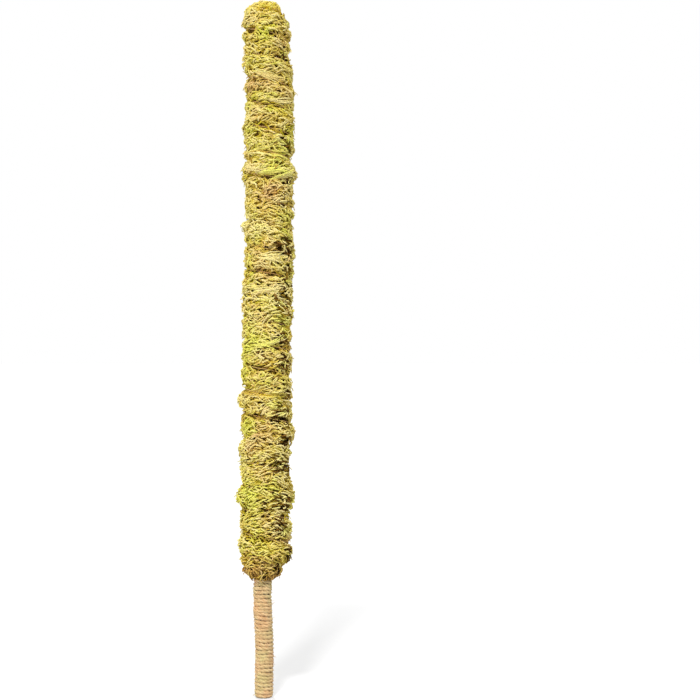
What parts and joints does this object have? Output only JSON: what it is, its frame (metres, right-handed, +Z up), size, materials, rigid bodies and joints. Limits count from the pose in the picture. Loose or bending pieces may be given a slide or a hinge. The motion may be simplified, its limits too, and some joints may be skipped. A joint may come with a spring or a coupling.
{
  "type": "moss pole",
  "caption": "Slim bendable moss pole: dried moss bound round a wire core by thread, with a twine-wound stem that is pushed into the soil.",
  "frame": {"origin": "middle of the core wire's lower end face, at the foot of the stem", "axes": "+Z up along the pole, +X to the right in the picture, -Y towards the picture's camera"},
  "size_m": [0.0345, 0.0316, 0.406],
  "materials": {
    "core_wire": "satin",
    "jute_twine": "matte",
    "binding_thread": "matte",
    "moss": "matte"
  },
  "bodies": {
    "root": {"core_wire": "core_wire", "stem_twine": "jute_twine", "binding_thread": "binding_thread", "moss_wad_01": "moss", "moss_wad_02": "moss", "moss_wad_03": "moss", "moss_wad_04": "moss", "moss_wad_05": "moss", "moss_wad_06": "moss", "moss_wad_07": "moss", "moss_wad_08": "moss", "moss_wad_09": "moss", "moss_wad_10": "moss", "moss_wad_11": "moss", "moss_wad_12": "moss", "moss_wad_13": "moss", "moss_wad_14": "moss", "moss_wad_15": "moss", "moss_wad_16": "moss", "moss_wad_17": "moss", "moss_wad_18": "moss", "moss_wad_19": "moss", "moss_wad_20": "moss", "moss_wad_21": "moss", "moss_wad_22": "moss", "moss_wad_23": "moss", "moss_wad_24": "moss", "moss_wad_25": "moss", "moss_wad_26": "moss", "moss_crown": "moss"}
  },
  "joints": []
}
